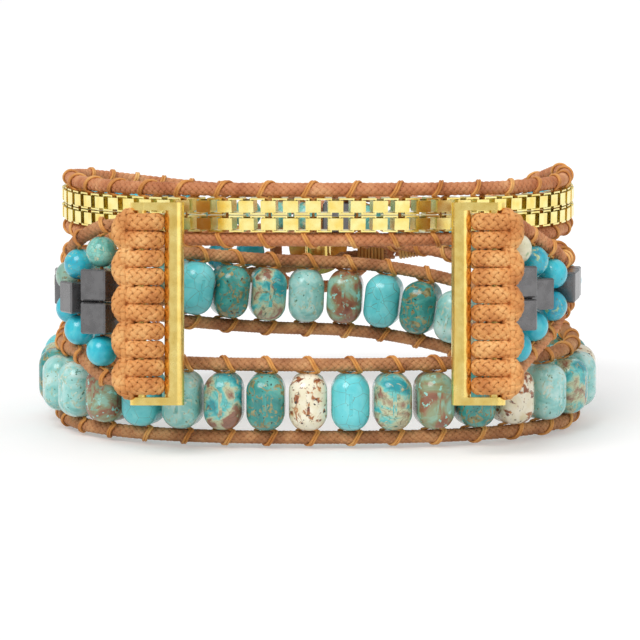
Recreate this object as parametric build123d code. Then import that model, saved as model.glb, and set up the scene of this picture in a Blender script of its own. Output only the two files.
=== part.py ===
from build123d import *
import math
import os

# Bead watch band that wraps three times round the wrist.
# It stands as worn: Z is the wrist's axis, -Y is the front, and the floor is Z = 0.
# Each strap starts at a metal connector beside the watch's place, as a triangle of
# beads, goes round the back, crosses the front as a full ring and ends at the back.
# The right strap climbs to a ring of gold chain, and the left one, which is made
# mirrored, comes down to a ring of large stones.

# Cords and threads
cord_d = 1.8
thread_d = 0.35
cord_gap = 0.3
wrap_gap = 0.05
thread_offset = 0.22
cord_end_gap = 0.05
loop_gap = 0.2

# Beads
small_bead_d = 4.0
cube_side = 4.0
cube_bevel = 0.2
bead_gap = 0.2
stone_length = 4.9
stone_depth = 6.6
stone_height = 7.3
stone_round = 2.2
stone_gap = 0.5
bore_d = 1.0
bore_mouth = 0.2

# Gold box chain, in two rows
link_length = 1.94
link_height = 2.1
link_wall = 0.2
link_play = 0.14
link_side_play = 0.1
row_gap = 0.15

# Watch connectors
connector_length = 25.6
connector_ear = 1.0
rail_d = 2.5
pin_d = 1.5
pin_clearance = 0.02
pin_slot_width = 0.35
pin_slot_depth = 0.4
ear_boss_d = 2.7
latch_offset = 4.6
latch_width = 2.5
latch_breadth = 1.1
latch_seat = 1.0
latch_reach = 0.55
latch_travel = 0.5
latch_clearance = 0.05
latch_round = 0.3
spring_wire_d = 0.15
spring_d = 0.8
spring_solid = 0.4

# Knots over the connector pins
knot_count = 5
strand_d = 1.9
strand_gap = 0.42
knot_gap = 0.3
bight_reach = 2.2
bight_height = 1.2
bend_share = 0.98
thread_end_gap = 0.03

# Where the connectors stand
pin_x = 22.4
pin_y = -30.9
pin_z = 19.2
connector_lean = 7.5

# Triangles of beads: where the first column stands, the way the cords run past each
# column and the turn of its beads, in degrees, and its room along the strap
column_counts = (4, 3, 2, 1)
left_column_x = 27.4
left_column_y = -28.6
left_column_ways = (40, 66, 82, 92)
left_column_yaws = (36, 66, 80, 92)
left_column_rooms = (5.2, 5.0, 4.4, 4.2)
right_column_x = 25.3
right_column_y = -25.7
right_column_ways = (66, 54, 52, 84)
right_column_yaws = (30, 38, 56, 78)
right_column_rooms = (4.9, 4.5, 4.2, 4.8)
cube_room = 5.4
left_cord_start = 1.4
right_cord_start = 1.6
triangle_bend = 3.0
slope_gap = 0.2

# Course of the straps, by where they pass the sides, the front and the back
side_half_width = 33.0
side_y = -1.5
side_z = 18.2
chain_half_width = 33.1
chain_side_y = 4.0
chain_front_y = -24.0
chain_z = 29.7
chain_side_z = 28.2
stone_half_width = 33.8
stone_side_y = -2.5
stone_front_y = -25.0
inner_back_y = 23.5
left_back_z = 12.5
right_back_z = 23.6
left_tail_y = 29.2
right_tail_y = 31.8
closure_z = 18.2
round_power = 2.0
chain_power = 2.0
stone_power = 2.6
tail_power = 3.0
march_reach = 80

# What the straps carry, in order from the triangle
left_inner_beads = 7
stone_count = 32
left_tail_beads = 8
right_inner_beads = 22
chain_stitches = 19
right_tail_beads = 4
cube_every = 6
stone_kinds = {
    "blue": (0, 5, 10, 20, 25, 31),
    "green": (1, 6, 11, 17, 22, 29),
    "pale": (3, 7, 13, 15, 24, 27, 28),
    "olive": (4, 9, 18, 26),
    "cream": (12, 16, 21),
    "mixed": (2, 8, 14, 19, 23, 30),
}
stone_spread = 7.4
spread_length = 5.0

# Closure at the back
button_d = 8.2
button_rim = 0.6
button_dome = 1.6
shank_d = 2.0
eye_d = 3.6
eye_bore_d = 1.4
eye_height = 1.6
eye_run = 4.4
button_clearance = 0.3
left_end_x = 9.6
whip_turns = 4
whip_thread_d = 0.45
whip_pitch = 0.9
whip_gap = 0.05
whip_room = 5.8
whip_inset = 0.2
cord_pair_gap = 0.1
loop_half_width = 5.6
loop_neck = 8.4
loop_near = 3.4
loop_far = 5.8
loop_end_x = 10.6

strap_room = small_bead_d + bead_gap
stone_room = stone_length + stone_gap
link_room = link_length - 2 * link_wall - link_play
chain_half = link_height + row_gap / 2
stone_z = stone_height / 2 + cord_gap + cord_d
pair_u = (cord_d + cord_pair_gap) / 2
pair_half = pair_u - cord_gap - cord_d / 2
wrap_centre_r = pin_d / 2 + pin_clearance + strand_d / 2 + wrap_gap
strand_u = (strand_d + strand_gap) / 2
knot_pitch = (connector_length - 2 * connector_ear - 2 * knot_gap) / knot_count
rail_x = -(wrap_centre_r + strand_d / 2 + knot_gap + rail_d / 2)
pocket_depth = latch_seat + latch_travel + spring_solid + 2 * latch_clearance


def smooth(f):
    return f * f * (3 - 2 * f)


# A strap's centre line. Each quarter turn is a superellipse from a side to the front
# or back, and turns under zero lead from the triangle of beads to the first side.
def strap_point(strap, turn):
    stations, powers, lead = strap
    if turn < 0:
        f = turn / 90 + 1
        half_width, y, z = stations[0]
        x = lead.X + (half_width - lead.X) * math.sin(math.radians(90 * f))
        return Vector(x, lead.Y + (y - lead.Y) * f, lead.Z + (z - lead.Z) * smooth(f))
    quarter = min(int(turn // 90), len(powers) - 1)
    f = turn / 90 - quarter
    first, last = stations[quarter], stations[quarter + 1]
    side, end, angle = (first, last, 90 * f) if quarter % 2 == 0 else (last, first, 90 * (1 - f))
    power = 2 / powers[quarter]
    east = 1 if (quarter + 1) // 2 % 2 == 0 else -1
    x = east * side[0] * max(math.cos(math.radians(angle)), 0) ** power
    y = side[1] + (end[1] - side[1]) * max(math.sin(math.radians(angle)), 0) ** power
    return Vector(x, y, first[2] + (last[2] - first[2]) * smooth(f))


# The turn, within a reach in degrees, at which the strap is a given distance further on
def march(strap, turn, distance):
    start = strap_point(strap, turn)
    low, high = turn, turn + march_reach
    for _ in range(50):
        middle = (low + high) / 2
        if (strap_point(strap, middle) - start).length < distance:
            low = middle
        else:
            high = middle
    return low


def up_at(strap, turn):
    along = strap_point(strap, turn + 0.5) - strap_point(strap, turn - 0.5)
    outward = along.cross(Vector(0, 0, 1))
    return outward.cross(along).normalized()


# A seat is the plane of one piece on the strap: X along the band, Z up its height
def seat_between(start, end, up_start, up_end):
    return Plane(origin=(start + end) / 2, x_dir=end - start, z_dir=up_start + up_end)


# The corners where both edge cords turn, each a point, its upward direction and
# the half height of what lies between the cords
class Course:
    def __init__(self, strap, turn):
        self.strap = strap
        self.turn = turn
        self.corners = []

    def corner(self, turn, half):
        point = strap_point(self.strap, turn)
        if not self.corners or (point - self.corners[-1][0]).length > cord_end_gap:
            self.corners.append((point, up_at(self.strap, turn), half))

    def lay(self, count, step, half):
        seats = []
        for _ in range(count):
            after = march(self.strap, self.turn, step)
            self.corner(self.turn, half)
            self.corner(after, half)
            first, last = self.corners[-2], self.corners[-1]
            seats.append(seat_between(first[0], last[0], first[1], last[1]))
            self.turn = after
        return seats

    def skip(self, length):
        self.turn = march(self.strap, self.turn, length)


def cord_height(half):
    return half + cord_gap + cord_d / 2


# The largest arcs that leave a tenth of each straight run between two corners
def bends_at(points):
    bends = []
    for before, corner, after in zip(points, points[1:], points[2:]):
        run = min((corner - before).length, (after - corner).length)
        turn = math.radians((corner - before).get_angle(after - corner))
        bends.append(min(0.45 * run / math.tan(turn / 2), 8 * run))
    return bends


def tube(points, diameter, bends):
    path = FilletPolyline(*points, radius=bends)
    section = Plane(origin=path @ 0, z_dir=path % 0) * Circle(diameter / 2)
    return sweep(section, path=path)


# A thread that goes twice through a bore, spreads, and goes round both edge cords
def stitch(height, gap):
    reach = cord_d / 2 + gap + thread_d / 2
    spread = math.radians(50)
    knee = height - reach * math.tan(spread / 2)
    foot = knee - (reach - thread_offset) / math.tan(spread)
    side = [(thread_offset, foot), (reach, knee), (reach, height + reach)]
    back = [(-n, u) for n, u in reversed(side)]
    corners = side + back + [(n, -u) for n, u in reversed(back)] + [(n, -u) for n, u in reversed(side)]
    wrap = bend_share * reach
    bends = [1.5 * thread_offset, wrap, wrap] + [wrap, wrap, 1.5 * thread_offset]
    points = [Vector(0, thread_offset, thread_end_gap)]
    points += [Vector(0, n, u) for n, u in corners]
    points += [Vector(0, thread_offset, -thread_end_gap)]
    return tube(points, thread_d, bends + bends)


def bored(body, height):
    bore = Cylinder(bore_d / 2, 2 * height)
    cone = Cone(bore_d / 2, bore_d / 2 + bore_mouth, bore_mouth)
    mouth = Pos(Z=(height - bore_mouth) / 2) * cone
    return body - bore - mouth - mirror(mouth, about=Plane.XY)


def round_bead():
    return bored(Sphere(small_bead_d / 2), small_bead_d)


def cube_bead():
    cube = Box(cube_side, cube_side, cube_side)
    return bored(chamfer(cube.edges(), cube_bevel), cube_side)


def stone_bead():
    block = Box(stone_length, stone_depth, stone_height)
    return bored(fillet(block.edges(), stone_round), stone_height)


# One link of box chain, a square ring of flat strip, open from top to bottom
def chain_link():
    strip = link_height - 2 * link_wall - 2 * link_side_play
    opening = Box(link_length - 2 * link_wall, link_height - 2 * link_wall, 2 * strip)
    return Box(link_length, link_height, strip) - opening


def leaning(centre, way, lean):
    tilt = math.radians(lean)
    way = math.radians(way)
    ahead = Vector(math.cos(way), math.sin(way), 0)
    return Plane(origin=centre, x_dir=ahead, z_dir=Vector(0, math.sin(tilt), math.cos(tilt)))


def heading(way):
    return Vector(math.cos(math.radians(way)), math.sin(math.radians(way)), 0)


# The planes of a triangle's columns, X the way the cords run
def columns(x, y, ways, rooms):
    centre = Vector(x, y, pin_z)
    planes = []
    for k, (way, room) in enumerate(zip(ways, rooms)):
        if k:
            centre = centre + heading(ways[k - 1]) * rooms[k - 1] / 2 + heading(way) * room / 2
        lean = connector_lean * (1 - (k + 1) / len(ways))
        planes.append(leaning(centre, way, lean))
    return planes


def column_half(count):
    return (count * small_bead_d + (count - 1) * bead_gap) / 2


def column_cord_height(count):
    return cord_height(column_half(count)) + slope_gap


# A column has a round bead at each end and cubes between, and the last is one cube
def column_beads(planes, ways, yaws):
    rounds, cubes = [], []
    for plane, way, yaw, count in zip(planes, ways, yaws, column_counts):
        for k in range(count):
            z = (k - (count - 1) / 2) * (small_bead_d + bead_gap)
            turned = plane * Pos(Z=z) * Rot(Z=yaw - way)
            if count > 1 and k in (0, count - 1):
                rounds.append(turned * round_bead())
            else:
                cubes.append(turned * cube_bead())
    return rounds, cubes


def column_threads(planes):
    heights = [column_cord_height(count) for count in column_counts]
    return [plane * stitch(height, slope_gap) for plane, height in zip(planes, heights)]


# Corners of an edge cord beside the triangle, from its end beside the knots on
def triangle_corners(planes, start, sign):
    points = []
    for plane, count in zip(planes, column_counts):
        points.append(plane.origin + plane.z_dir * sign * column_cord_height(count))
    return [points[0] - planes[0].x_dir * start] + points


def edge_cord(planes, start, course, sign):
    corners = triangle_corners(planes, start, sign)
    points = corners + [p + up * sign * cord_height(half) for p, up, half in course.corners]
    bends = bends_at(points)
    beside = len(corners) - 1
    bends = [min(bend, triangle_bend) for bend in bends[:beside]] + bends[beside:]
    print("edge cord", "least bend", round(min(bends), 2), "corners", len(points))
    return tube(points, cord_d, bends)


# One knot is a strand that comes over the pin, goes round behind it, crosses over
# itself outside as a bight, and goes back round the pin beside its start
def knot():
    r = wrap_centre_r
    start = bight_reach - math.sqrt((strand_d + knot_gap) ** 2 - (r - bight_height) ** 2)
    half = [
        Vector(start, -r, strand_u),
        Vector(-r, -r, strand_u),
        Vector(-r, r, strand_u),
        Vector(bight_reach, r, strand_u),
        Vector(bight_reach, -bight_height, strand_u),
    ]
    other = [Vector(p.X, p.Y, -p.Z) for p in reversed(half)]
    wrap = bend_share * r
    bight = bend_share * strand_u
    return tube(half + other, strand_d, [wrap, wrap, wrap, bight, bight, wrap, wrap, wrap])


def knots():
    places = [((knot_count - 1) / 2 - k) * knot_pitch for k in range(knot_count)]
    return [pin_plane * Pos(Z=z) * knot() for z in places]


# The connector: a round rail for the watch's slot, two ears and the latch's pocket
def connector_frame():
    rail = Pos(X=rail_x) * Cylinder(rail_d / 2, connector_length)
    ear = Pos(X=rail_x / 2) * Box(-rail_x, rail_d, connector_ear)
    ear += Cylinder(ear_boss_d / 2, connector_ear)
    ears = [Pos(Z=sign * (connector_length - connector_ear) / 2) * ear for sign in (1, -1)]
    hole = Cylinder(pin_d / 2 + pin_clearance, 2 * connector_length)
    pocket = Box(
        latch_breadth + 2 * latch_clearance,
        pocket_depth + rail_d,
        latch_width + 2 * latch_clearance,
    )
    place = Pos(X=rail_x, Y=rail_d - pocket_depth / 2, Z=latch_offset)
    return rail + ears - hole - place * pocket


def connector_pin():
    slot = Box(2 * pin_d, pin_slot_width, 2 * pin_slot_depth)
    return Cylinder(pin_d / 2, connector_length) - Pos(Z=connector_length / 2) * slot


def latch():
    length = latch_seat + latch_reach
    nub = Box(latch_breadth, length, latch_width)
    nub = fillet(nub.edges().group_by(Axis.Y)[-1], latch_round)
    return Pos(X=rail_x, Y=rail_d / 2 + latch_reach - length / 2, Z=latch_offset) * nub


# The latch's coil spring pressed solid, as a sleeve in the bottom of the pocket
def latch_spring():
    sleeve = Cylinder(spring_d / 2, spring_solid) - Cylinder(spring_d / 2 - spring_wire_d, 2 * spring_solid)
    bottom = rail_d / 2 - pocket_depth + latch_clearance / 2
    return Pos(X=rail_x, Y=bottom + spring_solid / 2, Z=latch_offset) * Rot(X=90) * sleeve


# Loops of thread round both cords of a strap's end, along X
def whipping():
    half_width = cord_d / 2 + whip_gap + whip_thread_d / 2
    half_height = half_width + pair_u
    corners = [(1, -1), (1, 1), (-1, 1), (-1, -1)]
    count = 4 * whip_turns
    points = []
    for k in range(count):
        side, up = corners[k % 4]
        x = (k / (count - 1) - 0.5) * whip_turns * whip_pitch
        points.append(Vector(x, side * half_width, up * half_height))
    bends = [bend_share * half_width] * (count - 2)
    path = FilletPolyline(*points, radius=bends)
    print("whipping least gap", round(least_gap(path, whip_thread_d, 4 * half_height), 3))
    section = Plane(origin=path @ 0, z_dir=path % 0) * Circle(whip_thread_d / 2)
    return sweep(section, path=path)


# The least gap of a tube to itself, between points further along it than a run
def least_gap(path, diameter, run):
    count = 400
    points = [path @ (k / count) for k in range(count + 1)]
    apart = int(run / path.length * count)
    pairs = [(p, q) for k, p in enumerate(points) for q in points[k + apart :]]
    return min((p - q).length for p, q in pairs) - diameter


# The plane of the whipping, near the end of a strap's cords
def whipping_seat(course):
    before, end = course.corners[-2], course.corners[-1]
    along = (end[0] - before[0]).normalized()
    middle = end[0] - along * (whip_inset + whip_thread_d / 2 + whip_turns * whip_pitch / 2)
    return Plane(origin=middle, x_dir=along, z_dir=before[1] + end[1])


# A domed button on a shank, with an eye that is sewn to both cords
def button():
    under = right_tail_y + cord_d / 2 + button_clearance - left_tail_y
    eye = Cylinder(eye_d / 2, eye_height)
    shank = Pos(Y=under / 2) * Rot(X=90) * Cylinder(shank_d / 2, under)
    height = button_rim + button_dome
    radius = ((button_d / 2) ** 2 + button_dome**2) / (2 * button_dome)
    head = Cylinder(button_d / 2, height) & Pos(Z=height / 2 - radius) * Sphere(radius)
    head = Pos(Y=under + height / 2) * Rot(X=-90) * head
    whole = eye + shank + head - Cylinder(eye_bore_d / 2, button_d)
    return Pos(Y=left_tail_y, Z=closure_z) * whole


def loop_cord():
    half = [
        Vector(loop_end_x, 0, pair_u),
        Vector(loop_neck, 0, pair_u),
        Vector(loop_near, 0, loop_half_width),
        Vector(-loop_far, 0, loop_half_width),
    ]
    points = half + [Vector(p.X, p.Y, -p.Z) for p in reversed(half)]
    far_bend = bend_share * loop_half_width
    near_bend = 0.7 * loop_half_width
    neck_bend = 1.5 * cord_d
    tube_ = tube(points, cord_d, [neck_bend, near_bend, far_bend, far_bend, near_bend, neck_bend])
    return Pos(Y=right_tail_y, Z=closure_z) * tube_


pin_plane = leaning(Vector(pin_x, pin_y, pin_z), 0, connector_lean)
left_columns = columns(left_column_x, left_column_y, left_column_ways, left_column_rooms)
right_columns = columns(right_column_x, right_column_y, right_column_ways, right_column_rooms)
left_lead = left_columns[-1].origin + heading(left_column_ways[-1]) * left_column_rooms[-1] / 2
right_lead = right_columns[-1].origin + heading(right_column_ways[-1]) * right_column_rooms[-1] / 2
left_strap = (
    [
        (side_half_width, side_y, side_z),
        (0, inner_back_y, left_back_z),
        (stone_half_width, stone_side_y, stone_z),
        (0, stone_front_y, stone_z),
        (stone_half_width, stone_side_y, stone_z),
        (0, left_tail_y, closure_z),
        (stone_half_width, stone_side_y, closure_z),
    ],
    (round_power, round_power, stone_power, stone_power, tail_power, tail_power),
    left_lead,
)
right_strap = (
    [
        (side_half_width, side_y, side_z),
        (0, inner_back_y, right_back_z),
        (chain_half_width, chain_side_y, chain_side_z),
        (0, chain_front_y, chain_z),
        (chain_half_width, chain_side_y, chain_side_z),
        (0, right_tail_y, closure_z),
    ],
    (round_power, round_power, chain_power, chain_power, tail_power),
    right_lead,
)


# The turn at which a strap's tail passes a place across the back
def back_turn(strap, x):
    share = abs(x) / strap[0][4][0]
    angle = math.degrees(math.acos(share ** (strap[1][4] / 2)))
    return 360 + angle if x >= 0 else 540 - angle


# The left strap from its first bead to the whipping on its end, mirrored
def lay_left():
    course = Course(left_strap, -90)
    seats = course.lay(1, cube_room, small_bead_d / 2)
    seats += course.lay(left_inner_beads - 1, strap_room, small_bead_d / 2)
    course.skip(stone_spread)
    stones = course.lay(stone_count, stone_room, stone_height / 2)
    course.skip(spread_length)
    tail = course.lay(left_tail_beads, strap_room, small_bead_d / 2)
    print("left tail ends at", strap_point(left_strap, course.turn), "of", left_lead)
    for x in (eye_run / 2, -eye_run / 2):
        course.corner(back_turn(left_strap, x), eye_height / 2)
    for x in (whip_room - left_end_x, -left_end_x):
        course.corner(back_turn(left_strap, x), pair_half)
    return course, seats, stones, tail


# The right strap, with the places of its chain links
def lay_right():
    course = Course(right_strap, -90)
    seats = course.lay(1, cube_room, small_bead_d / 2)
    seats += course.lay(right_inner_beads - 1, strap_room, small_bead_d / 2)
    course.skip(spread_length)
    turns = [course.turn]
    for _ in range(4 * chain_stitches):
        turns.append(march(right_strap, turns[-1], link_room))
    threads = []
    for start, end in zip(turns[::4], turns[4::4]):
        course.turn = end
        course.corner(start, chain_half)
        course.corner(end, chain_half)
        first, last = course.corners[-2], course.corners[-1]
        threads.append(seat_between(first[0], last[0], first[1], last[1]))
    course.skip(spread_length)
    tail = course.lay(right_tail_beads, strap_room, small_bead_d / 2)
    print("right tail ends at", strap_point(right_strap, course.turn))
    for x in (loop_end_x + loop_gap + whip_room, loop_end_x + loop_gap):
        course.corner(back_turn(right_strap, x), pair_half)
    return course, seats, turns, threads, tail


# The chain's two rows, every other link turned to show its opening
def chain_row(turns, sign):
    link = chain_link()
    row = []
    for k, turn in enumerate(turns):
        along = strap_point(right_strap, turn + 0.5) - strap_point(right_strap, turn - 0.5)
        seat = Plane(origin=strap_point(right_strap, turn), x_dir=along, z_dir=up_at(right_strap, turn))
        row.append(seat * Pos(Z=sign * (link_height + row_gap) / 2) * Rot(X=90 * (k % 2)) * link)
    return row


# Round beads with a cube at the start and after every few
def strap_beads(seats):
    ball, cube = round_bead(), cube_bead()
    rounds = [seat * ball for k, seat in enumerate(seats) if k % cube_every]
    return rounds, [seat * cube for seat in seats[::cube_every]]


def connector():
    return {
        "connector_frame": [pin_plane * connector_frame()],
        "connector_pin": [pin_plane * connector_pin()],
        "latch": [pin_plane * latch()],
        "latch_spring": [pin_plane * latch_spring()],
    }


def left_pieces():
    course, seats, stones, tail = lay_left()
    rounds, cubes = column_beads(left_columns, left_column_ways, left_column_yaws)
    inner_rounds, inner_cubes = strap_beads(seats)
    pieces = connector()
    for k, solid in enumerate(knots()):
        pieces["knot_" + str(k + 1)] = [solid]
    pieces["triangle_rounds"] = rounds
    pieces["triangle_cubes"] = cubes
    pieces["triangle_threads"] = column_threads(left_columns)
    pieces["strap_rounds"] = inner_rounds + [seat * round_bead() for seat in tail]
    pieces["strap_cubes"] = inner_cubes
    small_stitch = stitch(cord_height(small_bead_d / 2), wrap_gap)
    pieces["bead_threads"] = [seat * small_stitch for seat in seats + tail]
    pieces["upper_cord"] = [edge_cord(left_columns, left_cord_start, course, 1)]
    pieces["lower_cord"] = [edge_cord(left_columns, left_cord_start, course, -1)]
    pieces["end_whipping"] = [whipping_seat(course) * whipping()]
    pieces = {"left_" + name: [s.mirror(Plane.YZ) for s in solids] for name, solids in pieces.items()}
    stone = stone_bead()
    for kind, places in stone_kinds.items():
        pieces["stones_" + kind] = [(stones[k] * stone).mirror(Plane.YZ) for k in places]
    stone_stitch = stitch(cord_height(stone_height / 2), wrap_gap)
    pieces["stone_threads"] = [(seat * stone_stitch).mirror(Plane.YZ) for seat in stones]
    return pieces


def right_pieces():
    course, seats, turns, threads, tail = lay_right()
    rounds, cubes = column_beads(right_columns, right_column_ways, right_column_yaws)
    inner_rounds, inner_cubes = strap_beads(seats)
    pieces = connector()
    for k, solid in enumerate(knots()):
        pieces["knot_" + str(k + 1)] = [solid]
    pieces["triangle_rounds"] = rounds
    pieces["triangle_cubes"] = cubes
    pieces["triangle_threads"] = column_threads(right_columns)
    pieces["strap_rounds"] = inner_rounds + [seat * round_bead() for seat in tail]
    pieces["strap_cubes"] = inner_cubes
    small_stitch = stitch(cord_height(small_bead_d / 2), wrap_gap)
    pieces["bead_threads"] = [seat * small_stitch for seat in seats + tail]
    pieces["upper_cord"] = [edge_cord(right_columns, right_cord_start, course, 1)]
    pieces["lower_cord"] = [edge_cord(right_columns, right_cord_start, course, -1)]
    pieces["end_whipping"] = [whipping_seat(course) * whipping()]
    pieces = {"right_" + name: solids for name, solids in pieces.items()}
    pieces["chain_upper_row"] = chain_row(turns, 1)
    pieces["chain_lower_row"] = chain_row(turns, -1)
    chain_stitch = stitch(cord_height(chain_half), wrap_gap)
    pieces["chain_threads"] = [seat * chain_stitch for seat in threads]
    return pieces


def closure():
    sewing = Pos(Y=left_tail_y, Z=closure_z) * stitch(cord_height(eye_height / 2), wrap_gap)
    return {"button": [button()], "button_thread": [sewing], "loop_cord": [loop_cord()]}


def save(pieces):
    os.makedirs("parts", exist_ok=True)
    box = Compound([solid for solids in pieces.values() for solid in solids]).bounding_box()
    floor = Pos(-box.center().X, -box.center().Y, -box.min.Z)
    print("size", box.size, "shift", -box.center().X, -box.center().Y, -box.min.Z)
    for name, solids in pieces.items():
        node = Compound([floor * solid for solid in solids])
        node.label = name
        export_step(node, "parts/" + name + ".step")
        print(name, len(solids), round(node.volume, 2))
    places = {
        "pin": pin_plane.origin,
        "rail": pin_plane.from_local_coords(Vector(rail_x, 0, 0)),
        "latch": pin_plane.from_local_coords(Vector(rail_x, rail_d / 2, latch_offset)),
        "lean": pin_plane.z_dir,
        "back": pin_plane.y_dir,
        "loop hinge": Vector(loop_end_x, right_tail_y + cord_d / 2, closure_z),
        "button": Vector(0, left_tail_y, closure_z),
    }
    for name, place in places.items():
        moved = place if name in ("lean", "back") else floor * Pos(place)
        print(name, moved if isinstance(moved, Vector) else moved.position)


save({**left_pieces(), **right_pieces(), **closure()})
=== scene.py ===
import math
import bpy
import numpy as np
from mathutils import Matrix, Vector


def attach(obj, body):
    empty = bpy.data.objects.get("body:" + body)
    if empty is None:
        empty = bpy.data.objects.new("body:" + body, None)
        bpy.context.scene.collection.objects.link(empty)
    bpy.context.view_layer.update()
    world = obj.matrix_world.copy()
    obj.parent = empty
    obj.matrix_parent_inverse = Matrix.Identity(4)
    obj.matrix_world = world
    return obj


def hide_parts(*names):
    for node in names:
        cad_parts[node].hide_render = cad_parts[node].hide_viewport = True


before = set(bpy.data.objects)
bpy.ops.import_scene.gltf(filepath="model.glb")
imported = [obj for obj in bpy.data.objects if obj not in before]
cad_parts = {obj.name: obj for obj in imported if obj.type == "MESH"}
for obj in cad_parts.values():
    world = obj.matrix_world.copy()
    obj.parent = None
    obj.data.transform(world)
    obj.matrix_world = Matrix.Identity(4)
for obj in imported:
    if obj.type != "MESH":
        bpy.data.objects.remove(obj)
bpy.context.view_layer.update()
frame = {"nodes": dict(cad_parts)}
print("frame loaded")

mm = 0.001
tiny = 1e-6  # a length below this counts as none
frameShift = Vector((0.0526, -0.1214, 0.4))  # from the straps' own place to the frame


# Camera and light

camera = {
    "rise": 8.5,  # degrees above the table
    "away": 600.0,
    "aim": (0.33, 0.0, 12.9),
    "lens": 253.0,
    "near": 10.0,
    "far": 20000.0,
}
light = {
    "key": (-160.0, -260.0, 330.0, 35.0, 1.5),  # where it shines from, spread and strength
    "fill": (260.0, -200.0, 160.0, 260.0, 0.16),  # place, side and watts
    "back": (40.0, 300.0, 300.0, 300.0, 0.14),
    "aim": (0.0, 0.0, 20.0),
    "sky": 0.62,
    "table": (0.80, 0.80, 0.80),
    "tableRough": 0.9,
    "tableSide": 6000.0,
    "lift": 0.24,  # how much the table glows to the camera
}


def setCamera(s):
    data = bpy.data.cameras.new("camera")
    data.lens = s["lens"]
    data.clip_start = s["near"] * mm
    data.clip_end = s["far"] * mm
    obj = bpy.data.objects.new("camera", data)
    bpy.context.scene.collection.objects.link(obj)
    rise = math.radians(s["rise"])
    aim = Vector(s["aim"])
    obj.location = (aim + s["away"] * Vector((0, -math.cos(rise), math.sin(rise)))) * mm
    obj.rotation_euler = (math.radians(90) - rise, 0, 0)
    bpy.context.scene.camera = obj


def setLamp(name, aim, x, y, z, side, watts):
    data = bpy.data.lights.new(name, "AREA")
    data.size = side * mm
    data.energy = watts
    obj = bpy.data.objects.new(name, data)
    bpy.context.scene.collection.objects.link(obj)
    obj.location = Vector((x, y, z)) * mm
    obj.rotation_euler = (Vector(aim) - Vector((x, y, z))).to_track_quat("-Z", "Y").to_euler()


def setSun(x, y, z, spread, strength):
    data = bpy.data.lights.new("key", "SUN")
    data.angle = math.radians(spread)
    data.energy = strength
    obj = bpy.data.objects.new("key", data)
    bpy.context.scene.collection.objects.link(obj)
    obj.rotation_euler = (-Vector((x, y, z))).to_track_quat("-Z", "Y").to_euler()


socketNames = {"coat": "Coat Weight", "coatRough": "Coat Roughness", "spec": "Specular IOR Level"}


class Look:  # a material's node tree, with short ways to add nodes
    def __init__(self, name):
        self.material = bpy.data.materials.new(name)
        self.material.use_nodes = True
        self.tree = self.material.node_tree
        self.shader = self.tree.nodes["Principled BSDF"]
        self.place = None

    def add(self, kind, links=(), **values):
        node = self.tree.nodes.new("ShaderNode" + kind)
        for key, value in values.items():
            setattr(node, key, value)
        for socket, source in dict(links).items():
            self.link(source, node.inputs[socket])
        return node

    def link(self, source, target):  # a tuple is a fixed value
        if isinstance(target, str):
            target = self.shader.inputs[target]
        if isinstance(source, tuple):
            target.default_value = source
        else:
            self.tree.links.new(source, target)

    def set(self, **values):
        for key, value in values.items():
            self.shader.inputs[socketNames.get(key, key.title())].default_value = value

    def coords(self, perMm):
        if self.place is None:
            self.place = self.add("TexCoord").outputs["Object"]
        scaled = self.add("VectorMath", {0: self.place}, operation="SCALE")
        scaled.inputs["Scale"].default_value = perMm / mm
        return scaled.outputs[0]

    def noise(self, perMm, detail=3.0, rough=0.5, distort=0.0, shift=None):
        place = self.coords(perMm)
        if shift is not None:
            place = self.add("VectorMath", {0: place, 1: shift}, operation="ADD").outputs[0]
        node = self.add("TexNoise", {"Vector": place})
        node.inputs["Scale"].default_value = 1
        node.inputs["Detail"].default_value = detail
        node.inputs["Roughness"].default_value = rough
        node.inputs["Distortion"].default_value = distort
        return node.outputs["Fac"]

    def ramp(self, fac, *stops):
        node = self.add("ValToRGB", {0: fac})
        band = node.color_ramp
        while len(band.elements) < len(stops):
            band.elements.new(0.5)
        for element, (at, colour) in zip(band.elements, stops):
            element.position = at
            element.color = (*colour, 1)
        return node.outputs["Color"]

    def mix(self, fac, a, b, kind="MIX"):
        node = self.add("Mix", data_type="RGBA", blend_type=kind)
        for socket, value in ((0, fac), (6, a), (7, b)):
            if hasattr(value, "is_output"):
                self.link(value, node.inputs[socket])
            elif socket == 0:
                node.inputs[0].default_value = value
            else:
                node.inputs[socket].default_value = (*value, 1)
        return node.outputs[2]

    def bump(self, height, strength, distance):
        node = self.add("Bump", {"Height": height})
        node.inputs["Strength"].default_value = strength
        node.inputs["Distance"].default_value = distance * mm
        self.link(node.outputs[0], "Normal")


def rgb(r, g, b):  # from the values seen on a screen, 0 to 255
    return tuple(((c / 255 + 0.055) / 1.055) ** 2.4 for c in (r, g, b))


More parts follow.
